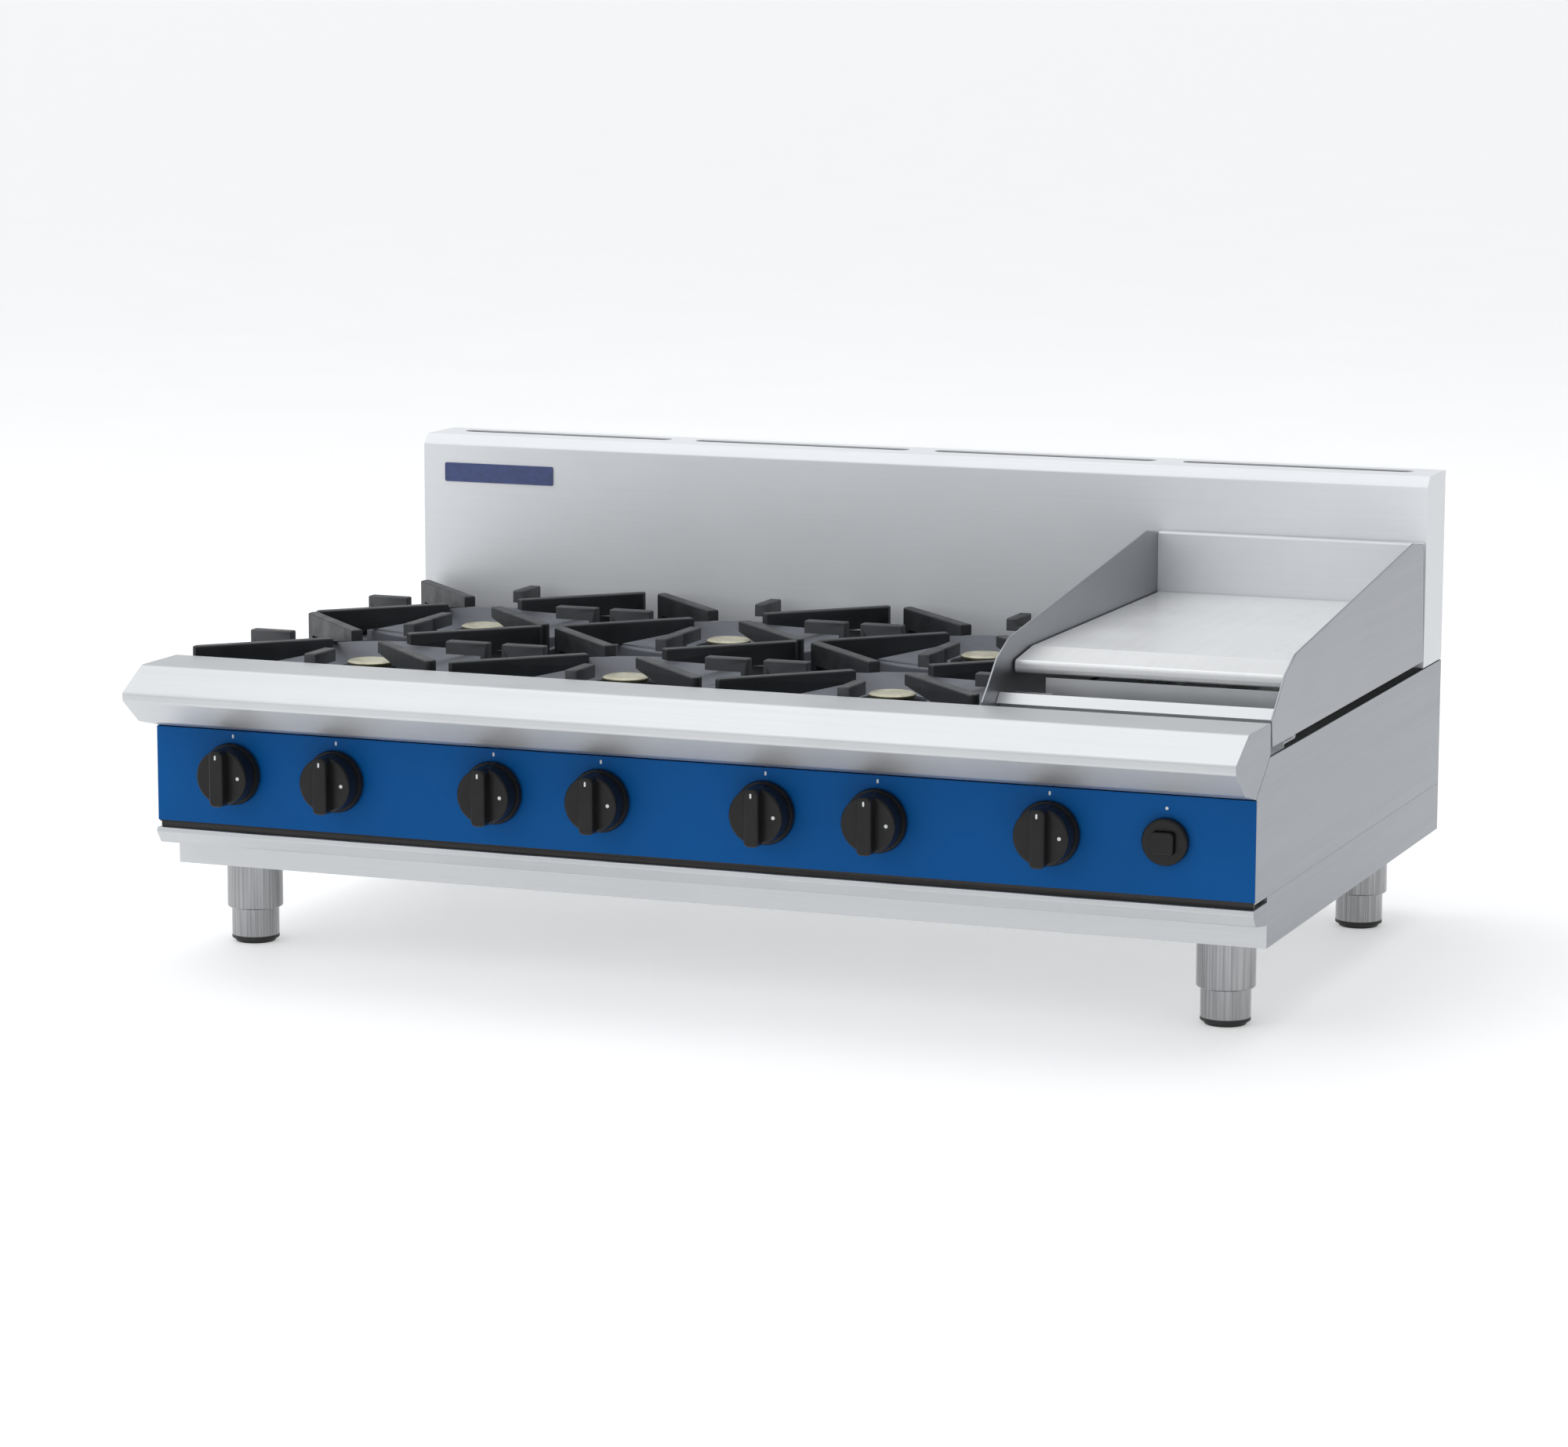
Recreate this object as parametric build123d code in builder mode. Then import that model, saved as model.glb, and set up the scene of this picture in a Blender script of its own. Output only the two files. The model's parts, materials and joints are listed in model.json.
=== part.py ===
from build123d import *
import os

os.makedirs("parts", exist_ok=True)

# ---------------------------------------------------------------- driving dimensions, millimetres
WIDTH = 1200              # over the side panels
DEPTH = 812               # nose of the front rail to the back panel
HEIGHT = 492              # floor to the top of the splashback
SHEET = 1.5               # stainless sheet of the casing
NOSE_REACH = 73           # front rail's nose ahead of the control panel

FOOT_SEAT = 38            # lower end of the leg sleeves
BASE_BOTTOM = 92
BASE_TOP = 144
PANEL_BOTTOM = 146
PANEL_TOP = 246.5
DECK_TOP = 282
RAIL_TOP = 316
TRIVET_TOP = 323
PLATE_TOP = 355           # griddle plate's cooking face

COLUMNS = (-450, -150, 150)        # burner columns
GRIDDLE_LEFT = 300
CONTROL_Z = 201                    # height of the knob axes
KNOB_OFFSET = 60                   # knobs either side of a column's centre
GRIDDLE_KNOB_X = 390
IGNITER_X = 510

HALF = WIDTH / 2
REAR = DEPTH / 2
PANEL = NOSE_REACH - REAR          # front face of the control panel


def back(distance):
    """Depth coordinate of a point that far behind the control panel's face."""
    return PANEL + distance


ROWS = (back(205), back(495))      # front and rear burners
KNOBS = [column + side * KNOB_OFFSET for column in COLUMNS for side in (-1, 1)] + [GRIDDLE_KNOB_X]
PLACES = [
    (f"{row_name}_{column_name}", column, row)
    for row_name, row in zip(("front", "rear"), ROWS)
    for column_name, column in zip(("left", "middle", "right"), COLUMNS)
]


def finish(piece, name):
    """Label a finished piece and write it to its own file."""
    piece.label = name
    export_step(piece, f"parts/{name}.step")


def front_plane(x, z=CONTROL_Z):
    """A plane on the control panel's face: local x to the right, local y up, normal to the cook."""
    return Plane(origin=(x, PANEL, z), x_dir=(1, 0, 0), z_dir=(0, -1, 0))


def folded_bar(points, radii, side, start=-HALF, end=HALF, capped=True):
    """A folded sheet from x = start to end: its section's corners, bend radii and inner side."""
    corners = [(back(y), z) for y, z in points]
    with BuildPart() as bar:
        with BuildSketch(Plane.YZ.offset(start)):
            with BuildLine():
                FilletPolyline(*corners, radius=radii)
                offset(amount=SHEET, side=side)
            make_face()
        extrude(amount=end - start)
        if capped:
            with BuildSketch(Plane.YZ.offset(start), Plane.YZ.offset(end - SHEET)):
                with BuildLine():
                    edge = FilletPolyline(*corners, radius=radii)
                    Line(edge @ 1, edge @ 0)
                make_face()
            extrude(amount=SHEET)
    return bar.part


def side_sheet(points, start, thickness):
    """A flat sheet facing sideways, from x = start, with its outline behind the panel face."""
    with BuildPart() as sheet:
        with BuildSketch(Plane.YZ.offset(start)):
            with BuildLine():
                Polyline(*[(back(y), z) for y, z in points], close=True)
            make_face()
        extrude(amount=thickness)
    return sheet.part


# ---------------------------------------------------------------- casing
BASE_FRONT = back(45)
BASE_MIDDLE = (BASE_FRONT + REAR) / 2
VENT_LENGTH = 110
VENT_WIDTH = 14

with BuildPart() as base_tray:
    with BuildSketch(Plane.XY.offset(BASE_BOTTOM)):
        with Locations((0, BASE_MIDDLE)):
            Rectangle(WIDTH, REAR - BASE_FRONT)
    extrude(amount=BASE_TOP - BASE_BOTTOM)
    offset(amount=-SHEET, openings=base_tray.faces().sort_by(Axis.Z)[-1])
    with BuildSketch(Plane.XY.offset(BASE_BOTTOM)):
        with Locations((0, BASE_MIDDLE)):
            with GridLocations(180, 120, 5, 4):
                SlotOverall(VENT_LENGTH, VENT_WIDTH)
    extrude(amount=SHEET, mode=Mode.SUBTRACT)
finish(base_tray.part, "base_tray")

# the ledge that throws drips clear of the bench, folded out of the base's front
LEDGE = [(44.6, 115), (5, 121), (-4, 133.5), (-3, 138.5), (44.6, 138.5)]
finish(folded_bar(LEDGE, [4, 2, 1], Side.RIGHT), "front_ledge")

# the side panels' sloping front edge lies along the front rail's end caps
SIDE_OUTLINE = [(2, BASE_TOP), (739, BASE_TOP), (739, DECK_TOP), (45.3, DECK_TOP), (2, 249.7)]
finish(side_sheet(SIDE_OUTLINE, -HALF, SHEET), "side_panel_left")
finish(side_sheet(SIDE_OUTLINE, HALF - SHEET, SHEET), "side_panel_right")

INLET_X = 530             # gas inlet at the back
INLET_Z = 183
INLET_HOLE = 36           # radius of the access hole round the inlet
LOUVRE_ROWS = 3

with BuildPart() as rear_panel:
    with BuildSketch(Plane.XZ.offset(-REAR)):
        with Locations((0, (BASE_TOP + HEIGHT) / 2)):
            Rectangle(WIDTH - 2 * SHEET - 0.2, HEIGHT - BASE_TOP)
        with Locations((INLET_X, INLET_Z)):
            Circle(INLET_HOLE, mode=Mode.SUBTRACT)
        with Locations((-90, 220)):
            with GridLocations(150, 24, 6, LOUVRE_ROWS):
                SlotOverall(VENT_LENGTH, 8, mode=Mode.SUBTRACT)
    extrude(amount=SHEET)
finish(rear_panel.part, "rear_panel")

SPINDLE_HOLE = 7
IGNITER_HOLE = 11.5
FLANGE = 12               # returns along the top and bottom of the control panel

with BuildPart() as control_panel:
    with BuildSketch(front_plane(0, (PANEL_BOTTOM + PANEL_TOP) / 2)):
        Rectangle(WIDTH, PANEL_TOP - PANEL_BOTTOM)
    extrude(amount=-SHEET)
    with BuildSketch(Plane.XY.offset(PANEL_BOTTOM), Plane.XY.offset(PANEL_TOP - SHEET)):
        with Locations((0, back(SHEET + FLANGE / 2))):
            Rectangle(WIDTH - 4 * SHEET, FLANGE)
    extrude(amount=SHEET)
    with BuildSketch(front_plane(0)):
        with Locations(*[(x, 0) for x in KNOBS]):
            Circle(SPINDLE_HOLE)
        with Locations((IGNITER_X, 0)):
            Circle(IGNITER_HOLE)
    extrude(amount=-SHEET, mode=Mode.SUBTRACT)
finish(control_panel.part, "control_panel")

# the bullnose rail over the control panel
RAIL = [
    (47, 284),
    (47, RAIL_TOP),
    (-30, RAIL_TOP),
    (-NOSE_REACH, 292.5),
    (-NOSE_REACH, 283.5),
    (-39, 257),
    (-1.5, 248),
]
finish(folded_bar(RAIL, [2.5, 10, 4, 4, 8], Side.LEFT), "front_rail")

BURNER_HOLE = 42          # radius of the deck's opening round a burner
DECK_RIGHT = GRIDDLE_LEFT - 2
DECK_BACK = back(656)
DECK_FRONT = back(48.5)

with BuildPart() as hob_deck:
    with BuildSketch(Plane.XY.offset(DECK_TOP - SHEET)):
        with Locations(((DECK_RIGHT - HALF + SHEET) / 2, (DECK_FRONT + DECK_BACK) / 2)):
            Rectangle(DECK_RIGHT + HALF - SHEET, DECK_BACK - DECK_FRONT)
        with Locations(*[(x, y) for place, x, y in PLACES]):
            Circle(BURNER_HOLE, mode=Mode.SUBTRACT)
    extrude(amount=SHEET)
finish(hob_deck.part, "hob_deck")

# ---------------------------------------------------------------- splashback and flue
SPLASH_FACE = 658
SPLASH_BOTTOM = 283.5
BEVEL = 11
FLUE_SLOT = (262, 18)
FLUE_SLOT_PITCH = 293
FLUE_SLOT_Y = back(712)
SPLASH = [
    (SPLASH_FACE, SPLASH_BOTTOM),
    (SPLASH_FACE, HEIGHT - BEVEL),
    (SPLASH_FACE + BEVEL, HEIGHT),
    (739 - SHEET - 0.2, HEIGHT),
]
SPLASH_END = [
    (SPLASH_FACE, SPLASH_BOTTOM),
    (SPLASH_FACE, HEIGHT - BEVEL),
    (SPLASH_FACE + BEVEL, HEIGHT),
    (739, HEIGHT),
    (739, SPLASH_BOTTOM),
]

splash_sheet = folded_bar(SPLASH, [3, 3], Side.RIGHT, capped=False)
with BuildPart() as splashback:
    add(splash_sheet)
    with BuildSketch(Plane.YZ.offset(-HALF), Plane.YZ.offset(HALF - SHEET)):
        with BuildLine():
            Polyline(*[(back(y), z) for y, z in SPLASH_END], close=True)
        make_face()
    extrude(amount=SHEET)
    with BuildSketch(Plane.XY.offset(HEIGHT - SHEET)):
        with Locations((0, FLUE_SLOT_Y)):
            with GridLocations(FLUE_SLOT_PITCH, 1, 4, 1):
                SlotOverall(*FLUE_SLOT)
    extrude(amount=SHEET, mode=Mode.SUBTRACT)
finish(splashback.part, "splashback")

BADGE = (138, 22)
BADGE_CENTRE = (-504, 449)
BADGE_THICKNESS = 1.2

with BuildPart() as badge_plate:
    with BuildSketch(Plane.XZ.offset(-back(SPLASH_FACE))):
        with Locations(BADGE_CENTRE):
            RectangleRounded(*BADGE, radius=2)
    extrude(amount=BADGE_THICKNESS)
finish(badge_plate.part, "badge_plate")

# ---------------------------------------------------------------- legs
LEG_X = 542
LEG_Y = (back(106), back(626))
SLEEVE_RADIUS = 30
FOOT_RADIUS = 25.5
FOOT_FIT = 0.06           # radial clearance of the foot in its sleeve
FOOT_TOP = 76
FOOT_WALL = 2.5
PAD_RADIUS = 21
PAD_HEIGHT = 4
LEGS = [
    (f"{row_name}_{side_name}", side * LEG_X, y)
    for row_name, y in zip(("front", "rear"), LEG_Y)
    for side_name, side in (("left", -1), ("right", 1))
]

with BuildPart() as leg_sleeves:
    with BuildSketch(Plane.XY.offset(FOOT_SEAT)):
        with Locations(*[(x, y) for place, x, y in LEGS]):
            Circle(SLEEVE_RADIUS)
    extrude(amount=BASE_BOTTOM - FOOT_SEAT)
    chamfer(leg_sleeves.edges().filter_by(GeomType.CIRCLE).group_by(Axis.Z)[0], length=1.5)
    with BuildSketch(Plane.XY.offset(FOOT_SEAT)):
        with Locations(*[(x, y) for place, x, y in LEGS]):
            Circle(FOOT_RADIUS + FOOT_FIT)
    extrude(amount=BASE_BOTTOM - FOOT_SEAT - 2, mode=Mode.SUBTRACT)
finish(leg_sleeves.part, "leg_sleeves")


def adjustable_foot(x, y):
    """A round tube with a rounded pad, which screws up and down in its sleeve."""
    outline = [
        (0, 0),
        (PAD_RADIUS, 0),
        (PAD_RADIUS + 1.5, PAD_HEIGHT),
        (FOOT_RADIUS, PAD_HEIGHT),
        (FOOT_RADIUS, FOOT_TOP),
        (FOOT_RADIUS - FOOT_WALL, FOOT_TOP),
        (FOOT_RADIUS - FOOT_WALL, 2 * PAD_HEIGHT),
        (0, 2 * PAD_HEIGHT),
    ]
    axis_plane = Plane(origin=(x, y, 0), x_dir=(1, 0, 0), z_dir=(0, -1, 0))
    with BuildPart() as foot:
        with BuildSketch(axis_plane):
            with BuildLine():
                Polyline(*outline, close=True)
            make_face()
        revolve(axis=Axis((x, y, 0), (0, 0, 1)))
    return foot.part


for place, x, y in LEGS:
    finish(adjustable_foot(x, y), f"adjustable_foot_{place}")

# ---------------------------------------------------------------- burners
BURNER_RADIUS = 23
CAP_RADIUS = 25
HEAD_TOP = 291.5
CAP_GAP = 0.4             # the cap's seat above the head
CAP_RIM = 3.2
CAP_TOP = 297.5
STEM_RADIUS = 15
CUP_TOP = 240             # mixing cup below the deck
HEAD_BORE = 12
PORTS = 24


def turned(points, x, y):
    """A solid of revolution about the vertical through (x, y), from its radius and height outline."""
    axis_plane = Plane(origin=(x, y, 0), x_dir=(1, 0, 0), z_dir=(0, -1, 0))
    with BuildPart() as piece:
        with BuildSketch(axis_plane):
            with BuildLine():
                Polyline(*points, close=True)
            make_face()
        revolve(axis=Axis((x, y, 0), (0, 0, 1)))
    return piece.part


HEAD_OUTLINE = [
    (HEAD_BORE, CUP_TOP),
    (STEM_RADIUS, CUP_TOP),
    (STEM_RADIUS, 268),
    (BURNER_RADIUS, 280),
    (BURNER_RADIUS, HEAD_TOP),
    (HEAD_BORE, HEAD_TOP),
]
CAP_OUTLINE = [
    (0, HEAD_TOP - 8),
    (HEAD_BORE - 1.5, HEAD_TOP - 8),
    (HEAD_BORE - 1, HEAD_TOP + CAP_GAP),
    (CAP_RADIUS - 1, HEAD_TOP + CAP_GAP),
    (CAP_RADIUS, HEAD_TOP + CAP_GAP + 1),
    (CAP_RADIUS, HEAD_TOP + CAP_GAP + CAP_RIM),
    (CAP_RADIUS - 3, CAP_TOP - 0.8),
    (CAP_RADIUS - 9, CAP_TOP),
    (0, CAP_TOP),
]

heads = [turned(HEAD_OUTLINE, x, y) for place, x, y in PLACES]
with BuildPart() as burner_heads:
    add(heads)
    with BuildSketch(Plane.XY.offset(HEAD_TOP)):
        with Locations(*[(x, y) for place, x, y in PLACES]):
            with PolarLocations((HEAD_BORE + BURNER_RADIUS) / 2 + 1, PORTS):
                Rectangle(BURNER_RADIUS - HEAD_BORE, 1.6)
    extrude(amount=-4, mode=Mode.SUBTRACT)
finish(burner_heads.part, "burner_heads")

for place, x, y in PLACES:
    finish(turned(CAP_OUTLINE, x, y), f"burner_cap_{place}")

BOWL_RADIUS = 131.5
BOWL_SHEET = 1.2
BOWL_COLLAR = 38
BOWL_SEAT = DECK_TOP + 0.3
BOWL_RIM = 298

with BuildPart() as bowl_section:
    with BuildSketch(Plane.XZ):
        with BuildLine():
            FilletPolyline(
                (BOWL_COLLAR, 288.5),
                (BOWL_COLLAR, 284),
                (BOWL_COLLAR + 14, 284),
                (BOWL_RADIUS - 4, BOWL_RIM),
                (BOWL_RADIUS, BOWL_RIM),
                (BOWL_RADIUS, BOWL_SEAT),
                radius=[2, 20, 2.5, 2.5],
            )
            offset(amount=BOWL_SHEET, side=Side.RIGHT)
        make_face()
    revolve(axis=Axis.Z)

for place, x, y in PLACES:
    finish(Pos(x, y, 0) * bowl_section.part, f"spill_bowl_{place}")

# ---------------------------------------------------------------- pan supports
TRIVET_HALF_X = 141
TRIVET_HALF_Y = 144
BAR = 13                  # width of arms and stubs
ARM_TIP = 44              # from the burner's centre to the end of a diagonal arm
ARM_UNDERSIDE = 299.5
ARM_TIP_UNDERSIDE = 311    # the arms grow shallower towards the burner
ARM_TAPER_END = 130        # from the burner's centre, where they reach full depth
STUB_LENGTH = 48
STUB_DEPTH = 14
FRAME_WIDTH = 7.5
FRAME_TOP = 293
TOP_BEVEL = 1.2


def trivet(x, y):
    """A cast pan support: a low square frame, four deep diagonal arms and four short side stubs."""
    corner = (TRIVET_HALF_X**2 + TRIVET_HALF_Y**2) ** 0.5
    outline = (2 * TRIVET_HALF_X, 2 * TRIVET_HALF_Y)
    shoulder = TRIVET_TOP - TOP_BEVEL
    stub_x = TRIVET_HALF_X - STUB_LENGTH / 2
    stub_y = TRIVET_HALF_Y - STUB_LENGTH / 2
    leg_x = TRIVET_HALF_X - FRAME_WIDTH / 2
    leg_y = TRIVET_HALF_Y - FRAME_WIDTH / 2
    with BuildSketch(Plane(origin=(x, y, ARM_UNDERSIDE))) as arms:
        with PolarLocations((ARM_TIP + corner) / 2, 4, start_angle=45):
            Rectangle(corner - ARM_TIP, BAR)
        RectangleRounded(*outline, radius=6, mode=Mode.INTERSECT)
    with BuildSketch(Plane(origin=(x, y, shoulder))) as stubs:
        with Locations((-stub_x, 0), (stub_x, 0)):
            Rectangle(STUB_LENGTH, BAR)
        with Locations((0, -stub_y), (0, stub_y)):
            Rectangle(BAR, STUB_LENGTH)
    with BuildPart() as relief:
        with BuildSketch(Plane.XZ):
            with BuildLine():
                Polyline(
                    (0, ARM_UNDERSIDE - 1),
                    (ARM_TAPER_END, ARM_UNDERSIDE - 1),
                    (ARM_TAPER_END, ARM_UNDERSIDE),
                    (ARM_TIP, ARM_TIP_UNDERSIDE),
                    (0, ARM_TIP_UNDERSIDE),
                    close=True,
                )
            make_face()
        revolve(axis=Axis.Z)
    with BuildPart() as casting:
        with BuildSketch(Plane(origin=(x, y, BOWL_SEAT))):
            RectangleRounded(*outline, radius=6)
            Rectangle(outline[0] - 2 * FRAME_WIDTH, outline[1] - 2 * FRAME_WIDTH, mode=Mode.SUBTRACT)
        extrude(amount=FRAME_TOP - BOWL_SEAT)
        with BuildSketch(Plane(origin=(x, y, BOWL_SEAT))):
            with Locations((-leg_x, 0), (leg_x, 0)):
                Rectangle(FRAME_WIDTH, BAR)
            with Locations((0, -leg_y), (0, leg_y)):
                Rectangle(BAR, FRAME_WIDTH)
            with PolarLocations(corner - 11, 4, start_angle=45):
                Rectangle(22, BAR)
            RectangleRounded(*outline, radius=6, mode=Mode.INTERSECT)
        extrude(amount=shoulder - BOWL_SEAT)
        extrude(arms.sketch, amount=shoulder - ARM_UNDERSIDE)
        add(relief.part.moved(Location((x, y, 0))), mode=Mode.SUBTRACT)
        extrude(stubs.sketch, amount=TOP_BEVEL - STUB_DEPTH)
        extrude(stubs.sketch, amount=TOP_BEVEL, taper=35)
        extrude(arms.sketch.moved(Pos(0, 0, shoulder - ARM_UNDERSIDE)), amount=TOP_BEVEL, taper=35)
    return casting.part


for place, x, y in PLACES:
    finish(trivet(x, y), f"trivet_{place}")

# ---------------------------------------------------------------- controls
SPINDLE_RADIUS = 4
SPINDLE_FIT = 0.05
SPINDLE_FLAT = 2.8        # from the axis to the flat of the D
SPINDLE_FRONT = 22        # ahead of the panel
SPINDLE_BACK = 32         # behind the panel
COLLAR = (6, 8, 11)       # radius, start and end behind the panel
KNOB_GAP = 3.8            # skirt's clearance from the panel, released
SKIRT_RADIUS = 33
DRUM_RADIUS = 29
DRUM_FRONT = 29
GRIP = (18, 61)
GRIP_FRONT = 41


def valve_spindle(x):
    """A round shaft with a D end for the knob."""
    face = front_plane(x)
    with BuildPart() as spindle:
        with BuildSketch(face.offset(SPINDLE_FRONT)):
            Circle(SPINDLE_RADIUS)
        extrude(amount=-SPINDLE_FRONT - SPINDLE_BACK)
        with BuildSketch(face.offset(-COLLAR[1])):
            Circle(COLLAR[0])
        extrude(amount=COLLAR[1] - COLLAR[2])
        with BuildSketch(face.offset(SPINDLE_FRONT)):
            with Locations((0, SPINDLE_FLAT + 5)):
                Rectangle(20, 10)
        extrude(amount=-SPINDLE_FRONT - 1, mode=Mode.SUBTRACT)
    return spindle.part


def control_knob(x):
    """A dished skirt, a drum and an upright grip bar over a bored boss."""
    face = front_plane(x)
    with BuildPart() as knob:
        with BuildSketch(face.offset(KNOB_GAP)):
            Circle(SKIRT_RADIUS)
        extrude(amount=5, taper=14)
        with BuildSketch(face.offset(KNOB_GAP + 2)):
            Circle(DRUM_RADIUS + 1)
        extrude(amount=DRUM_FRONT - KNOB_GAP - 2, taper=3)
        fillet(knob.edges().filter_by(GeomType.CIRCLE).group_by(Axis.Y)[0], radius=2.5)
        with BuildSketch(face.offset(KNOB_GAP + 4)):
            RectangleRounded(*GRIP, radius=6.5)
        extrude(amount=GRIP_FRONT - KNOB_GAP - 4, taper=2)
        fillet(knob.faces().sort_by(Axis.Y)[0].edges(), radius=2.5)
        with BuildSketch(face.offset(KNOB_GAP)):
            Circle(SKIRT_RADIUS - 3)
            Circle(SPINDLE_RADIUS + 3.5, mode=Mode.SUBTRACT)
        extrude(amount=3, mode=Mode.SUBTRACT)
        with BuildSketch(face.offset(KNOB_GAP)):
            Circle(SPINDLE_RADIUS + SPINDLE_FIT)
            with Locations((0, SPINDLE_FLAT + SPINDLE_FIT + 5)):
                Rectangle(20, 10, mode=Mode.SUBTRACT)
        extrude(amount=SPINDLE_FRONT + 5 - KNOB_GAP, mode=Mode.SUBTRACT)
    return knob.part


for number, x in enumerate(KNOBS, start=1):
    finish(valve_spindle(x), f"valve_spindle_{number}")
    finish(control_knob(x), f"control_knob_{number}")

BEZEL_RADIUS = 23.5
BEZEL_DEPTH = 9
BUTTON = 22
BUTTON_TRAVEL_ROOM = 5.2
BUTTON_FRONT = 16
STRIKER_BACK = 50
STEM = 4

igniter_plane = front_plane(IGNITER_X)
with BuildPart() as igniter_body:
    with BuildSketch(igniter_plane):
        Circle(BEZEL_RADIUS)
    extrude(amount=BEZEL_DEPTH)
    fillet(igniter_body.faces().sort_by(Axis.Y)[0].edges(), radius=3)
    with BuildSketch(igniter_plane):
        Circle(IGNITER_HOLE - 0.2)
    extrude(amount=-STRIKER_BACK)
    with BuildSketch(igniter_plane.offset(-SHEET)):
        RegularPolygon(15, 6)
    extrude(amount=-6)
    with BuildSketch(igniter_plane.offset(BEZEL_DEPTH)):
        RectangleRounded(BUTTON + 1, BUTTON + 1, radius=4)
    extrude(amount=1 - BEZEL_DEPTH, mode=Mode.SUBTRACT)
    with BuildSketch(igniter_plane.offset(BEZEL_DEPTH)):
        Circle(STEM + 0.08)
    extrude(amount=-BEZEL_DEPTH - 30, mode=Mode.SUBTRACT)
finish(igniter_body.part, "igniter_body")

with BuildPart() as igniter_button:
    with BuildSketch(igniter_plane.offset(1 + BUTTON_TRAVEL_ROOM)):
        RectangleRounded(BUTTON, BUTTON, radius=3.5)
    extrude(amount=BUTTON_FRONT - 1 - BUTTON_TRAVEL_ROOM)
    fillet(igniter_button.faces().sort_by(Axis.Y)[0].edges(), radius=1.5)
    with BuildSketch(igniter_plane.offset(1 + BUTTON_TRAVEL_ROOM)):
        Circle(STEM)
    extrude(amount=-24)
finish(igniter_button.part, "igniter_button")

# ---------------------------------------------------------------- gas train
PIPE_RADIUS = 13.2        # three-quarter inch pipe
PIPE_WALL = 2.6
MANIFOLD_START = -545
MANIFOLD_Y = back(66)
INLET_LENGTH = 20
VALVE_SIZE = 34
VALVE_FRONT = 12
VALVE_BACK = 52
INLET_BOSS_Z = 191
OUTLET_Z = CONTROL_Z + 3
OUTLET_RADIUS = 5
JET_END = 96
BELL_START = 98
BELL_LENGTH = 24
TUBE_RADIUS = 13
TUBE_WALL = 2
CUP_RADIUS = 20

manifold_path = FilletPolyline(
    (MANIFOLD_START, MANIFOLD_Y, INLET_Z),
    (INLET_X, MANIFOLD_Y, INLET_Z),
    (INLET_X, REAR, INLET_Z),
    radius=45,
)
with BuildPart() as gas_manifold:
    with BuildSketch(Plane(origin=manifold_path @ 0, z_dir=manifold_path % 0)):
        Circle(PIPE_RADIUS)
    sweep(path=manifold_path)
    with BuildSketch(Plane(origin=(INLET_X, REAR - INLET_LENGTH, INLET_Z), z_dir=(0, 1, 0))):
        RegularPolygon(19, 6)
    extrude(amount=-12)
    with BuildSketch(Plane(origin=(INLET_X, REAR, INLET_Z), z_dir=(0, 1, 0))):
        Circle(PIPE_RADIUS - PIPE_WALL)
    extrude(amount=-600, mode=Mode.SUBTRACT)
    with BuildSketch(Plane(origin=manifold_path @ 0, z_dir=(1, 0, 0))):
        RegularPolygon(17, 6)
    extrude(amount=14)
finish(gas_manifold.part, "gas_manifold")

with BuildPart() as gas_valves:
    for x in KNOBS:
        face = front_plane(x)
        with BuildSketch(face.offset(-VALVE_FRONT)):
            RectangleRounded(VALVE_SIZE, VALVE_SIZE, radius=5)
        extrude(amount=VALVE_FRONT - VALVE_BACK)
        with BuildSketch(Plane(origin=(x, back(VALVE_BACK), INLET_BOSS_Z), z_dir=(0, 1, 0))):
            Circle(6)
        extrude(amount=12)
        with BuildSketch(Plane(origin=(x, back(VALVE_BACK), OUTLET_Z), z_dir=(0, 1, 0))):
            Circle(OUTLET_RADIUS)
        extrude(amount=JET_END - VALVE_BACK)
        with BuildSketch(Plane(origin=(x, back(JET_END - 12), OUTLET_Z), z_dir=(0, 1, 0))):
            RegularPolygon(7, 6)
        extrude(amount=8)
        with BuildSketch(face.offset(-VALVE_FRONT)):
            Circle(SPINDLE_RADIUS + SPINDLE_FIT)
        extrude(amount=VALVE_FRONT - SPINDLE_BACK - 3, mode=Mode.SUBTRACT)
    with BuildSketch(Plane(origin=(-HALF, MANIFOLD_Y, INLET_Z), z_dir=(1, 0, 0))):
        Circle(PIPE_RADIUS + 0.02)
    extrude(amount=WIDTH, mode=Mode.SUBTRACT)
finish(gas_valves.part, "gas_valves")


def gas_tube(path, cup_centre=None):
    """A tube with a bell mouth at its valve's jet; with a centre given, it ends in a burner's cup."""
    mouth = Plane(origin=path @ 0, z_dir=path % 0)
    with BuildPart() as tube:
        with BuildSketch(mouth):
            Circle(TUBE_RADIUS)
        sweep(path=path)
        with BuildSketch(mouth):
            Circle(TUBE_RADIUS)
        extrude(amount=-BELL_LENGTH, taper=-14)
        if cup_centre:
            with BuildSketch(Plane(origin=(*cup_centre, OUTLET_Z - TUBE_RADIUS - 4))):
                Circle(CUP_RADIUS)
            extrude(amount=CUP_TOP - OUTLET_Z + TUBE_RADIUS + 4)
        with BuildSketch(mouth):
            Circle(TUBE_RADIUS - TUBE_WALL)
        sweep(path=path, mode=Mode.SUBTRACT)
        with BuildSketch(mouth):
            Circle(TUBE_RADIUS - TUBE_WALL)
        extrude(amount=-BELL_LENGTH, taper=-14, mode=Mode.SUBTRACT)
        if cup_centre:
            with BuildSketch(Plane(origin=(*cup_centre, CUP_TOP))):
                Circle(HEAD_BORE)
            extrude(amount=OUTLET_Z - TUBE_RADIUS - CUP_TOP, mode=Mode.SUBTRACT)
    return tube.part


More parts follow.
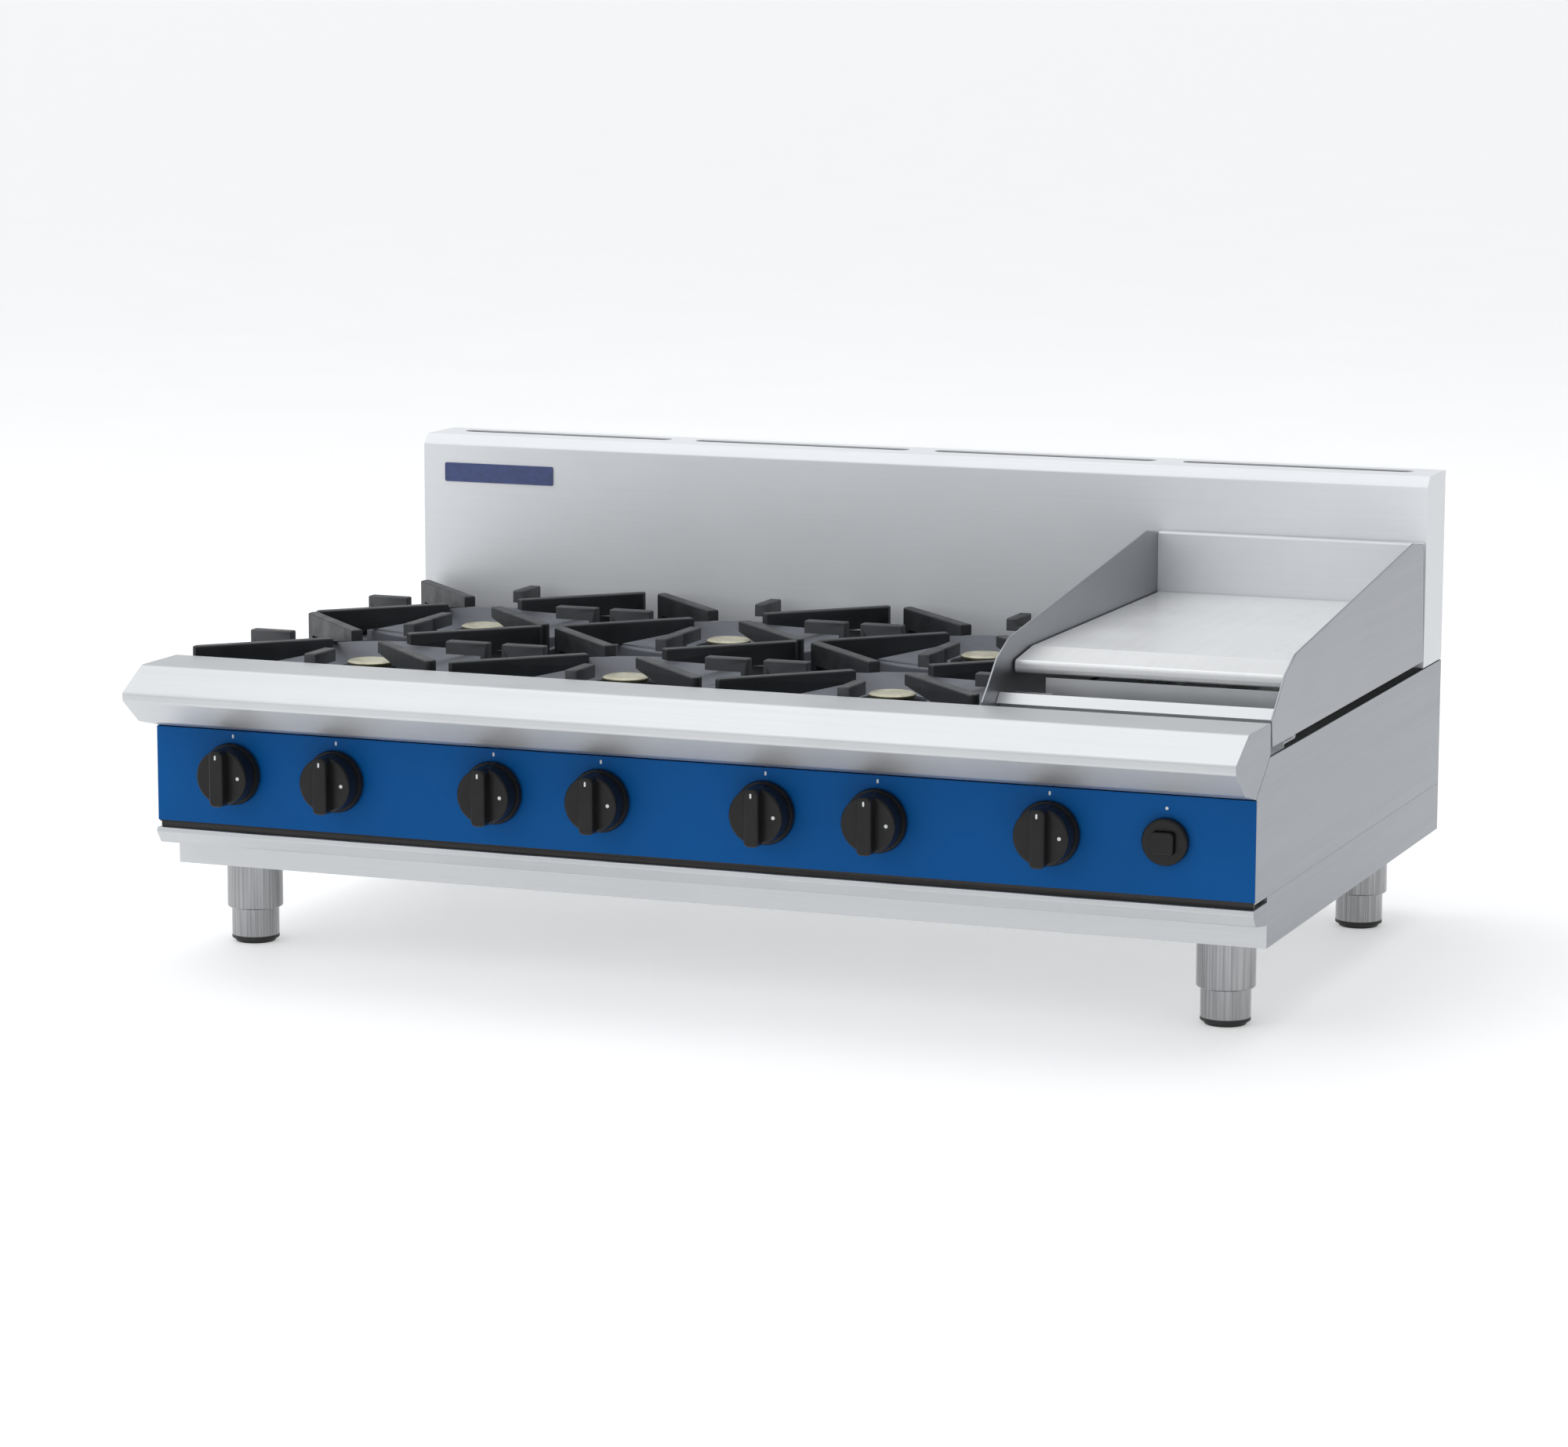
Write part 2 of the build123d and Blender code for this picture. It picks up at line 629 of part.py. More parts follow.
tubes = []
for place, x, y in PLACES:
    knob_x = x - KNOB_OFFSET if place.startswith("rear") else x + KNOB_OFFSET
    route = FilletPolyline(
        (knob_x, back(BELL_START + BELL_LENGTH), OUTLET_Z),
        (knob_x, y - KNOB_OFFSET, OUTLET_Z),
        (x, y, OUTLET_Z),
        radius=20,
    )
    tubes.append(gas_tube(route, (x, y)))

with BuildPart() as mixing_tubes:
    add(tubes)
finish(mixing_tubes.part, "mixing_tubes")

# ---------------------------------------------------------------- griddle
PLATE_THICKNESS = 12
PLATE_BACK = 640
PLATE_EDGE = 200          # cooking face ends here and slopes down to the nose
PLATE_NOSE = 144
PLATE_LEFT = GRIDDLE_LEFT + 4
PLATE_RIGHT = HALF - 4
GUARD_SHEET = 2
GUARD_BOTTOM = 291
GUARD = [
    (55, GUARD_BOTTOM),
    (51, 318),
    (67, 331),
    (95, 356),
    (134, 372),
    (601, 427),
    (646, 421),
    (656, GUARD_BOTTOM),
]
SHELF = 12                # ledge under the plate's sides

with BuildPart() as griddle_plate:
    with BuildSketch(Plane.YZ.offset(PLATE_LEFT)):
        with BuildLine():
            plate_edge = FilletPolyline(
                (back(PLATE_BACK), PLATE_TOP - PLATE_THICKNESS),
                (back(172), PLATE_TOP - PLATE_THICKNESS),
                (back(158), 334.5),
                (back(PLATE_NOSE), 334.5),
                (back(PLATE_NOSE), 347.5),
                (back(PLATE_EDGE), PLATE_TOP),
                (back(PLATE_BACK), PLATE_TOP),
                radius=[4, 3, 6, 5, 4],
            )
            Line(plate_edge @ 1, plate_edge @ 0)
        make_face()
    extrude(amount=PLATE_RIGHT - PLATE_LEFT)
finish(griddle_plate.part, "griddle_plate")


def griddle_guard(start, shelf_centre):
    """A splash guard beside the plate, with a ledge that the plate rests on."""
    with BuildPart() as guard:
        with BuildSketch(Plane.YZ.offset(start)):
            with BuildLine():
                Polyline(*[(back(y), z) for y, z in GUARD], close=True)
            make_face()
        extrude(amount=GUARD_SHEET)
        with BuildSketch(Plane.XY.offset(PLATE_TOP - PLATE_THICKNESS)):
            with Locations((shelf_centre, back(410))):
                Rectangle(SHELF, 440)
        extrude(amount=-GUARD_SHEET)
    return guard.part


LEFT_GUARD_INSIDE = GRIDDLE_LEFT + GUARD_SHEET
RIGHT_GUARD_INSIDE = HALF - GUARD_SHEET
finish(griddle_guard(GRIDDLE_LEFT, LEFT_GUARD_INSIDE + SHELF / 2), "griddle_guard_left")
finish(griddle_guard(RIGHT_GUARD_INSIDE, RIGHT_GUARD_INSIDE - SHELF / 2), "griddle_guard_right")

BACK_GUARD = [(641, 330), (641, 421), (655.5, 421)]
finish(
    folded_bar(BACK_GUARD, [2], Side.RIGHT, LEFT_GUARD_INSIDE, RIGHT_GUARD_INSIDE, capped=False),
    "griddle_back_guard",
)

# the trough ahead of the plate: an apron, a front wall with a rolled lip, a floor and a back wall
TROUGH_FRONT = [(48.5, 281.2), (105.2, 281.2), (105.2, 321), (101.5, 321), (91, 311.5)]
TROUGH_FLOOR_Z = 286
WALL_FACE = 144.8
WALL_TOP = 331.5
WALL_LEFT = 337           # the back wall runs on past the floor, behind the box
TROUGH_FLOOR = [
    (105.2, TROUGH_FLOOR_Z),
    (WALL_FACE + SHEET, TROUGH_FLOOR_Z),
    (WALL_FACE + SHEET, WALL_TOP),
]
CHUTE_RIGHT = 348         # the floor stops here, and grease drops into the box

trough_start = LEFT_GUARD_INSIDE + 0.5
trough_end = RIGHT_GUARD_INSIDE - 0.5
front_fold = folded_bar(TROUGH_FRONT, [2, 2.5, 2.5], Side.LEFT, trough_start, trough_end, capped=False)
floor_fold = folded_bar(TROUGH_FLOOR, [3], Side.LEFT, CHUTE_RIGHT, trough_end, capped=False)
with BuildPart() as grease_trough:
    add([front_fold, floor_fold])
    with BuildSketch(Plane.XZ.offset(-back(WALL_FACE))):
        with Locations(((WALL_LEFT + CHUTE_RIGHT) / 2, (TROUGH_FLOOR_Z + WALL_TOP) / 2)):
            Rectangle(CHUTE_RIGHT - WALL_LEFT, WALL_TOP - TROUGH_FLOOR_Z)
    extrude(amount=-SHEET)
finish(grease_trough.part, "grease_trough")

BOX_LEFT = 304.5
BOX_RIGHT = 345.5
BOX_FRONT = back(108)
BOX_BACK = back(142)
BOX_BOTTOM = 165
BOX_TOP = 316
BOX_SHEET = 1.2
LIP_BOTTOM = 287.9

with BuildPart() as grease_box:
    with BuildSketch(Plane.XY.offset(BOX_BOTTOM)):
        with Locations(((BOX_LEFT + BOX_RIGHT) / 2, (BOX_FRONT + BOX_BACK) / 2)):
            Rectangle(BOX_RIGHT - BOX_LEFT, BOX_BACK - BOX_FRONT)
    extrude(amount=BOX_TOP - BOX_BOTTOM)
    offset(amount=-BOX_SHEET, openings=grease_box.faces().sort_by(Axis.Z)[-1])
    with BuildSketch(Plane.XY.offset(LIP_BOTTOM)):
        with Locations((BOX_RIGHT, (BOX_FRONT + BOX_BACK) / 2)):
            Rectangle(4, BOX_BACK - BOX_FRONT - 2 * BOX_SHEET)
    extrude(amount=BOX_TOP - LIP_BOTTOM, mode=Mode.SUBTRACT)
    with BuildSketch(Plane.XY.offset(LIP_BOTTOM)):
        with Locations((BOX_RIGHT + 3.4, (BOX_FRONT + BOX_BACK) / 2)):
            Rectangle(2 * (3.4 + BOX_SHEET), BOX_BACK - BOX_FRONT - 2 * BOX_SHEET)
    extrude(amount=BOX_SHEET)
finish(grease_box.part, "grease_box")

FLAME_Z = 296
FLAME_LEFT = GRIDDLE_KNOB_X
FLAME_RIGHT = 490

burner_path = FilletPolyline(
    (FLAME_LEFT, back(BELL_START + BELL_LENGTH), OUTLET_Z),
    (FLAME_LEFT, back(180), OUTLET_Z),
    (FLAME_LEFT, back(270), FLAME_Z),
    (FLAME_LEFT, back(590), FLAME_Z),
    (FLAME_RIGHT, back(590), FLAME_Z),
    (FLAME_RIGHT, back(240), FLAME_Z),
    radius=34,
)
flame_tube = gas_tube(burner_path)
with BuildPart() as griddle_burner:
    add(flame_tube)
    with BuildSketch(Plane.XY.offset(FLAME_Z)):
        with Locations(((FLAME_LEFT + FLAME_RIGHT) / 2, back(420))):
            with GridLocations(FLAME_RIGHT - FLAME_LEFT, 20, 2, 12):
                Circle(1.5)
    extrude(amount=TUBE_RADIUS + 1, mode=Mode.SUBTRACT)
    with BuildSketch(Plane(origin=burner_path @ 1, z_dir=(0, -1, 0))):
        Circle(TUBE_RADIUS)
    extrude(amount=3)
finish(griddle_burner.part, "griddle_burner")
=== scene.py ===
import json
import math

import bmesh
import bpy
from mathutils import Matrix, Vector


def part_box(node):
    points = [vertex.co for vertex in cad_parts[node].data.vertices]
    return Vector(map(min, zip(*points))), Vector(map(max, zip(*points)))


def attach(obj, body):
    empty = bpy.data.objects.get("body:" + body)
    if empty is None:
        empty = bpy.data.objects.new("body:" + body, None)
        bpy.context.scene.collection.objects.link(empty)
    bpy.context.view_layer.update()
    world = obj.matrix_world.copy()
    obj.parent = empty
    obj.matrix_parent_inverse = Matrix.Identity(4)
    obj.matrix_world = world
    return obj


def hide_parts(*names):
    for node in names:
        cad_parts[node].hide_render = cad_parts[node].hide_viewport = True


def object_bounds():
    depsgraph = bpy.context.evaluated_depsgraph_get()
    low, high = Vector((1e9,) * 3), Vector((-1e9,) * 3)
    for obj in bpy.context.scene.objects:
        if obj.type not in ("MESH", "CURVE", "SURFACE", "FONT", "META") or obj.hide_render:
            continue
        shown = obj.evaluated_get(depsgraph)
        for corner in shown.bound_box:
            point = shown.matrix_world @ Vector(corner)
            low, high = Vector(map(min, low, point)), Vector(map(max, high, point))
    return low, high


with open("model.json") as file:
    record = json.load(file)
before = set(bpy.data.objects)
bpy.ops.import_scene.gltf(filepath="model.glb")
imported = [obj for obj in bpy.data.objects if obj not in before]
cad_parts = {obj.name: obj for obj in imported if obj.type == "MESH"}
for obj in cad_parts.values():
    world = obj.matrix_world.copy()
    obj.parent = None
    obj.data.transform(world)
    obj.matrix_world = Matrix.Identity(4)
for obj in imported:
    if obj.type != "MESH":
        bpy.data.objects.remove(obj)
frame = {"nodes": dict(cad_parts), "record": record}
cad_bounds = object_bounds()
nodes = frame["nodes"]
body_of_node = {
    node: body
    for body, members in frame["record"]["behaviour"]["bodies"].items()
    for node in members
}
slot_of_node = {entry["node"]: entry["material_slot"] for entry in frame["record"]["subparts"]}
MM = 0.001


# ---------------------------------------------------------------- materials
class Finish:
    """A procedural material on one Principled shader, in the row frame's metres."""

    def __init__(self, name, **sockets):
        self.material = bpy.data.materials.new(name)
        self.material.use_nodes = True
        self.tree = self.material.node_tree
        self.shader = self.tree.nodes["Principled BSDF"]
        for socket, value in sockets.items():
            self.shader.inputs[socket.replace("_", " ")].default_value = value
        self.normal = None

    def node(self, kind, **settings):
        made = self.tree.nodes.new(kind)
        for name, value in settings.items():
            setattr(made, name, value)
        return made

    def link(self, output, target):
        self.tree.links.new(output, target)

    def place(self, stretch=(1, 1, 1)):
        """Coordinates in metres, multiplied by stretch along each axis."""
        coordinates = self.node("ShaderNodeTexCoord")
        mapping = self.node("ShaderNodeMapping")
        mapping.inputs["Scale"].default_value = stretch
        self.link(coordinates.outputs["Object"], mapping.inputs["Vector"])
        return mapping.outputs["Vector"]

    def noise(self, scale, detail=3.0, stretch=(1, 1, 1), roughness=0.55, distortion=0.0):
        made = self.node("ShaderNodeTexNoise")
        made.inputs["Scale"].default_value = scale
        made.inputs["Detail"].default_value = detail
        made.inputs["Roughness"].default_value = roughness
        made.inputs["Distortion"].default_value = distortion
        self.link(self.place(stretch), made.inputs["Vector"])
        return made.outputs["Fac"]

    def cells(self, scale):
        made = self.node("ShaderNodeTexVoronoi")
        made.inputs["Scale"].default_value = scale
        self.link(self.place(), made.inputs["Vector"])
        return made.outputs["Distance"]

    def ramp(self, source, stops):
        """A colour or grey for each position of the source's value."""
        made = self.node("ShaderNodeValToRGB")
        elements = made.color_ramp.elements
        while len(elements) < len(stops):
            elements.new(0.5)
        for element, (position, value) in zip(elements, stops):
            element.position = position
            grey = (value, value, value) if isinstance(value, float) else value
            element.color = (*grey, 1)
        self.link(source, made.inputs["Fac"])
        return made.outputs["Color"]

    def range(self, source, low, high, start=0.3, end=0.7):
        made = self.node("ShaderNodeMapRange")
        made.inputs["From Min"].default_value = start
        made.inputs["From Max"].default_value = end
        made.inputs["To Min"].default_value = low
        made.inputs["To Max"].default_value = high
        self.link(source, made.inputs["Value"])
        return made.outputs["Result"]

    def sum(self, first, second):
        made = self.node("ShaderNodeMath", operation="ADD")
        self.link(first, made.inputs[0])
        self.link(second, made.inputs[1])
        return made.outputs["Value"]

    def mix(self, factor, first, second):
        """Blends two colours, each a colour or a node's output."""
        made = self.node("ShaderNodeMix", data_type="RGBA")
        self.link(factor, made.inputs["Factor"])
        for value, socket in ((first, made.inputs["A"]), (second, made.inputs["B"])):
            colour_socket = [
                s for s in made.inputs if s.name == socket.name and s.type == "RGBA"
            ][0]
            if isinstance(value, tuple):
                colour_socket.default_value = (*value, 1)
            else:
                self.link(value, colour_socket)
        return [s for s in made.outputs if s.type == "RGBA"][0]

    def colour(self, source):
        self.link(source, self.shader.inputs["Base Color"])

    def roughness(self, source):
        self.link(source, self.shader.inputs["Roughness"])

    def bump(self, source, strength, distance):
        """Adds a layer of relief to the ones already there."""
        made = self.node("ShaderNodeBump")
        made.inputs["Strength"].default_value = strength
        made.inputs["Distance"].default_value = distance
        self.link(source, made.inputs["Height"])
        if self.normal:
            self.link(self.normal, made.inputs["Normal"])
        self.normal = made.outputs["Normal"]
        self.link(self.normal, self.shader.inputs["Normal"])

    def lighten_edges_highlight_and_wear(self, base, edge, start=0.52, end=0.6):
        """Lightens the convex edges: a painted highlight along them, with some wear from handling
        and cleaning.
        """
        geometry = self.node("ShaderNodeNewGeometry")
        highlight_and_wear = self.range(geometry.outputs["Pointiness"], 0, 1, start, end)
        self.colour(self.mix(highlight_and_wear, base, edge))


ALONG_X = (5, 650, 650)      # noise cells per metre for a grain drawn along that axis
ALONG_Y = (650, 5, 650)
BROAD = 6                    # the wide streaks are this many times coarser than the grain
GRAIN_RELIEF = 0.01 * MM


def brushed_steel(name, dark, light, grain=ALONG_X, rough=(0.38, 0.5), metallic=1.0):
    """Satin stainless sheet: fine drawn lines and soft clouds left by polishing and wiping."""
    finish = Finish(name, Metallic=metallic)
    lines = finish.noise(1, 4, grain, 0.65)
    broad = finish.noise(1, 3, tuple(value / BROAD for value in grain), 0.6)
    clouds = finish.noise(5, 4, distortion=0.4)
    tone = finish.sum(finish.range(lines, 0, 0.4), finish.range(clouds, 0, 0.6, 0.35, 0.65))
    finish.colour(finish.ramp(tone, [(0.1, dark), (0.9, light)]))
    low, high = rough
    middle = (low + high) / 2
    spread = (high - low) / 2
    streaks = finish.range(broad, middle - spread / 3, middle + spread / 3)
    wiped = finish.range(clouds, -spread / 2, spread / 2)
    finish.roughness(finish.sum(streaks, wiped))
    finish.bump(lines, 0.08, GRAIN_RELIEF)
    finish.bump(finish.noise(2.2, 2), 0.12, 2 * MM)
    return finish.material


def blue_paint():
    """Satin powder coat with a fine orange peel, a little darker where it pooled."""
    finish = Finish("blue_powder_coat", Specular_IOR_Level=0.12)
    drift = finish.noise(7, 3)
    finish.colour(finish.ramp(drift, [(0.3, (0.0, 0.08, 0.28)), (0.7, (0.0, 0.09, 0.315))]))
    finish.roughness(finish.range(finish.noise(60, 3), 0.42, 0.52))
    finish.bump(finish.noise(900, 2), 0.18, 0.06 * MM)
    return finish.material


def badge_enamel():
    """Blue enamelled badge with a fine speckle."""
    finish = Finish("badge_enamel", Coat_Weight=0.5, Coat_Roughness=0.12)
    speckle = finish.noise(120, 3)
    stops = [(0.3, (0.012, 0.035, 0.16)), (0.7, (0.02, 0.055, 0.23))]
    finish.colour(finish.ramp(speckle, stops))
    finish.roughness(finish.range(finish.noise(300, 2), 0.25, 0.36))
    finish.bump(finish.noise(1500, 1), 0.1, 0.03 * MM)
    return finish.material


GRIT = 0.3 * MM


def cast_iron(name, dark, light, edge):
    """Black enamelled casting: sandy skin, shallow pits and lighter edges, painted as highlight
    with some wear.
    """
    finish = Finish(name, Specular_IOR_Level=0.5)
    skin = finish.noise(330, 4, roughness=0.7)
    patches = finish.noise(38, 3)
    tone = finish.ramp(patches, [(0.3, dark), (0.7, light)])
    # convex edges lightened: painted highlight, with some wear
    finish.lighten_edges_highlight_and_wear(tone, edge)
    finish.roughness(finish.range(patches, 0.38, 0.55))
    finish.bump(skin, 0.5, GRIT)
    pits = finish.range(finish.cells(420), 0, 1, 0.05, 0.45)
    finish.bump(pits, 0.2, GRIT / 2)
    return finish.material


def grey_enamel():
    """Pressed bowl in grey vitreous enamel: a soft gloss, speckle and faint heat staining."""
    finish = Finish("grey_vitreous_enamel", Specular_IOR_Level=0.25)
    speckle = finish.noise(900, 2, roughness=0.8)
    base = finish.ramp(speckle, [(0.35, (0.16, 0.168, 0.194)), (0.65, (0.2, 0.21, 0.24))])
    stain = finish.range(finish.noise(9, 4, distortion=0.8), 0, 0.45, 0.52, 0.75)
    finish.colour(finish.mix(stain, base, (0.1, 0.1, 0.108)))
    finish.roughness(finish.range(finish.noise(22, 3), 0.5, 0.62))
    finish.bump(finish.noise(260, 3), 0.12, 0.15 * MM)
    return finish.material


def burner_brass():
    """Pale brass burner cap, dulled by heat and mottled on top; faces turned away from up are
    olive-dark, partly heat colour and partly painted shade.
    """
    finish = Finish("burner_cap_brass", Metallic=0.75)
    mottle = finish.noise(70, 4, distortion=0.5)
    top = finish.ramp(mottle, [(0.3, (0.5, 0.48, 0.36)), (0.7, (0.68, 0.655, 0.52))])
    geometry = finish.node("ShaderNodeNewGeometry")
    split = finish.node("ShaderNodeSeparateXYZ")
    finish.link(geometry.outputs["Normal"], split.inputs["Vector"])
    # upward faces get the pale top colour, the others the dark one: light and shade painted by
    # facing, partly heat colour
    lit_facing_up = finish.range(split.outputs["Z"], 0, 1, 0.55, 0.98)
    side = finish.ramp(mottle, [(0.3, (0.09, 0.09, 0.055)), (0.7, (0.17, 0.165, 0.1))])
    finish.colour(finish.mix(lit_facing_up, side, top))
    finish.roughness(finish.range(finish.noise(150, 3), 0.38, 0.55))
    finish.bump(finish.noise(500, 3), 0.25, 0.12 * MM)
    return finish.material


def machined_brass():
    """Turned brass of the valves' spindles."""
    finish = Finish("machined_brass", Metallic=1.0)
    turning = finish.noise(1, 3, (900, 40, 900))
    stops = [(0.3, (0.5, 0.36, 0.14)), (0.7, (0.72, 0.56, 0.27))]
    finish.colour(finish.ramp(turning, stops))
    finish.roughness(finish.range(finish.noise(60, 3), 0.22, 0.38))
    finish.bump(turning, 0.2, 0.03 * MM)
    return finish.material


def moulded_black():
    """Phenolic moulding: a satin skin with a very fine grain, lighter on its convex edges: painted
    highlight, with some rubbing wear.
    """
    finish = Finish("moulded_black", Specular_IOR_Level=0.28)
    drift = finish.noise(45, 3)
    tone = finish.ramp(drift, [(0.3, (0.0085, 0.008, 0.008)), (0.7, (0.0125, 0.0117, 0.0117))])
    # convex edges lightened: painted highlight, with some wear
    finish.lighten_edges_highlight_and_wear(tone, (0.035, 0.033, 0.033), 0.53, 0.62)
    finish.roughness(finish.range(finish.noise(110, 3), 0.3, 0.42))
    finish.bump(finish.noise(1600, 2), 0.15, 0.05 * MM)
    return finish.material


def zinc_plate():
    """Zinc-coated pipe with a faint spangle."""
    finish = Finish("zinc_coat", Metallic=0.9)
    spangle = finish.cells(380)
    finish.colour(finish.ramp(spangle, [(0.1, (0.34, 0.35, 0.36)), (0.6, (0.5, 0.51, 0.52))]))
    finish.roughness(finish.range(finish.noise(60, 3), 0.4, 0.6))
    finish.bump(finish.noise(300, 3), 0.15, 0.1 * MM)
    return finish.material


def white_print():
    """Screen-printed white ink, slightly uneven."""
    finish = Finish("white_print")
    stops = [(0.3, (0.66, 0.67, 0.68)), (0.7, (0.82, 0.83, 0.84))]
    finish.colour(finish.ramp(finish.noise(900, 3), stops))
    finish.roughness(finish.range(finish.noise(400, 2), 0.45, 0.6))
    finish.bump(finish.noise(1800, 2), 0.1, 0.03 * MM)
    return finish.material


def griddle_steel():
    """Ground and polished plate: bright, with long grinding lines and soft wiped clouds."""
    finish = Finish("ground_griddle_plate", Metallic=0.25)
    lines = finish.noise(1, 3, (140, 4, 140), 0.6)
    wiped = finish.noise(8, 2)
    tone = finish.sum(finish.range(lines, 0, 0.5), finish.range(wiped, 0, 0.5))
    stops = [(0.1, (0.86, 0.865, 0.87)), (0.9, (0.92, 0.925, 0.93))]
    finish.colour(finish.ramp(tone, stops))
    finish.roughness(finish.range(wiped, 0.26, 0.32))
    finish.bump(finish.noise(30, 2), 0.04, 0.2 * MM)
    return finish.material


PAD_TOP = (7.5 * MM, 8.2 * MM)     # the black pad's upper end, blended over this height


def leg_finish():
    """Bright drawn tube with a black moulded pad on its last few millimetres."""
    finish = Finish("leg_tube", Specular_IOR_Level=0.5)
    lines = finish.noise(1, 3, (500, 500, 6))
    tube = finish.ramp(lines, [(0.3, (0.24, 0.24, 0.246)), (0.7, (0.42, 0.42, 0.43))])
    split = finish.node("ShaderNodeSeparateXYZ")
    finish.link(finish.place(), split.inputs["Vector"])
    above_pad = finish.range(split.outputs["Z"], 0, 1, *PAD_TOP)
    finish.colour(finish.mix(above_pad, (0.012, 0.012, 0.012), tube))
    finish.link(above_pad, finish.shader.inputs["Metallic"])
    rough = finish.range(lines, 0.1, 0.15)
    finish.roughness(finish.sum(rough, finish.range(above_pad, 0.35, 0.0, 0, 1)))
    finish.bump(lines, 0.05, GRAIN_RELIEF)
    return finish.material


STEEL_DARK = (0.59, 0.6, 0.612)
STEEL_LIGHT = (0.65, 0.66, 0.672)
steel = brushed_steel("brushed_stainless", STEEL_DARK, STEEL_LIGHT)
# darker copy of the stainless for faces that look along X: painted shade on the sides
steel_sides_painted_shade = brushed_steel(
    "brushed_stainless_sides_painted_shade", (0.35, 0.362, 0.386), (0.4, 0.413, 0.44), ALONG_Y
)
# lighter copy of the stainless for the splashback and griddle back guard: painted light; its low
# metallic makes the sheet more diffuse
steel_splashback_painted_light = brushed_steel(
    "brushed_stainless_splashback_painted_light", (0.84, 0.855, 0.875), (0.9, 0.915, 0.935), metallic=0.2
)
# darker copy of the stainless for the griddle's side guards: painted shade
steel_guards_painted_shade = brushed_steel(
    "brushed_stainless_guards_painted_shade", (0.33, 0.34, 0.36), (0.38, 0.39, 0.415), ALONG_Y, (0.34, 0.44)
)
# much darker copy of the stainless for the hob deck: painted shade under the pan supports and
# painted reflection of them
steel_deck_painted_shade = brushed_steel(
    "brushed_stainless_deck_painted_shade", (0.15, 0.155, 0.172), (0.2, 0.206, 0.226), rough=(0.4, 0.52)
)
burner_iron = cast_iron(
    "burner_casting", (0.05, 0.05, 0.05), (0.085, 0.085, 0.085), (0.16, 0.155, 0.15)
)
support_iron = cast_iron(
    "pan_support_iron", (0.009, 0.010, 0.0125), (0.0145, 0.0165, 0.02), (0.085, 0.089, 0.095)
)
finishes = {
    "stainless": steel,
    "deck_steel": steel_deck_painted_shade,
    "blue_panel": blue_paint(),
    "badge_blue": badge_enamel(),
    "leg_steel": leg_finish(),
    "burner_iron": burner_iron,
    "burner_brass": burner_brass(),
    "pipe_steel": zinc_plate(),
    "brass": machined_brass(),
    "black_plastic": moulded_black(),
    "plate_steel": griddle_steel(),
    "cast_iron": support_iron,
    "grey_enamel": grey_enamel(),
}
print_white = white_print()
special = {       # nodes whose sheet differs from the rest of its slot: lighter and darker copies of the stainless, painted light and painted shade
    "splashback": steel_splashback_painted_light,
    "griddle_back_guard": steel_splashback_painted_light,
    "side_panel_left": steel_sides_painted_shade,
    "side_panel_right": steel_sides_painted_shade,
    "griddle_guard_left": steel_guards_painted_shade,
    "griddle_guard_right": steel_guards_painted_shade,
}


# ---------------------------------------------------------------- carried-over shapes
SHARP = math.radians(28)        # edges that turn more than this are rounded
FLAT = math.radians(0.4)        # neighbouring facets closer than this are one face
WELD = 0.002 * MM
FACING_SIDEWAYS = 0.9           # a face that looks along X this much has its grain along Y and gets the darker sides copy: painted shade


def piece_from(name, bm, body, material, smooth=True):
    """A new piece of the object from a finished mesh."""
    mesh = bpy.data.meshes.new(name)
    bm.to_mesh(mesh)
    bm.free()
    mesh.materials.append(material)
    if smooth:
        for polygon in mesh.polygons:
            polygon.use_smooth = True
    piece = bpy.data.objects.new(name, mesh)
    bpy.context.scene.collection.objects.link(piece)
    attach(piece, body)
    return piece


def soften(piece, width, segments=2):
    """Rounds the sharp edges and keeps the flats flat to the eye."""
    edges = piece.modifiers.new("edges", "BEVEL")
    edges.width = width
    edges.segments = segments
    edges.limit_method = "ANGLE"
    edges.angle_limit = SHARP
    edges.miter_outer = "MITER_ARC"
    normals = piece.modifiers.new("normals", "WEIGHTED_NORMAL")
    normals.keep_sharp = True
    normals.weight = 80


def refined(node, width, segments):
    """The CAD node's own shape with its machined, pressed or cast edges rounded."""
    bm = bmesh.new()
    bm.from_mesh(nodes[node].data)
    bmesh.ops.remove_doubles(bm, verts=bm.verts, dist=WELD)
    bmesh.ops.dissolve_limit(bm, angle_limit=FLAT, verts=bm.verts, edges=bm.edges)
    slot = slot_of_node[node]
    finish = special.get(node, finishes[slot])
    piece = piece_from(node + "_shell", bm, body_of_node[node], finish)
    # stainless faces that look along X get the darker sides copy: painted shade
    if slot == "stainless" and node not in special:
        piece.data.materials.append(steel_sides_painted_shade)
        for polygon in piece.data.polygons:
            polygon.material_index = int(abs(polygon.normal.x) > FACING_SIDEWAYS)
    soften(piece, width * MM, segments)
    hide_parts(node)


EDGE_WIDTHS = [       # rounding in mm and its segments for the nodes whose names start so
    ("trivet", 0.9, 3),
    ("control_knob", 0.7, 3),
    ("igniter", 0.5, 3),
    ("burner_cap", 0.5, 3),
    ("burner_heads", 0.3, 2),
    ("spill_bowl", 0.3, 2),
    ("griddle_plate", 0.6, 2),
    ("griddle_guard", 0.5, 2),
    ("adjustable_foot", 0.7, 3),
    ("leg_sleeves", 0.4, 2),
    ("gas_valves", 0.6, 2),
    ("gas_manifold", 0.4, 2),
    ("badge_plate", 0.3, 2),
]
SHEET_EDGE = 0.35
for node in sorted(nodes):
    width, segments = SHEET_EDGE, 2
    for start, node_width, node_segments in EDGE_WIDTHS:
        if node.startswith(start):
            width, segments = node_width, node_segments
    refined(node, width, segments)


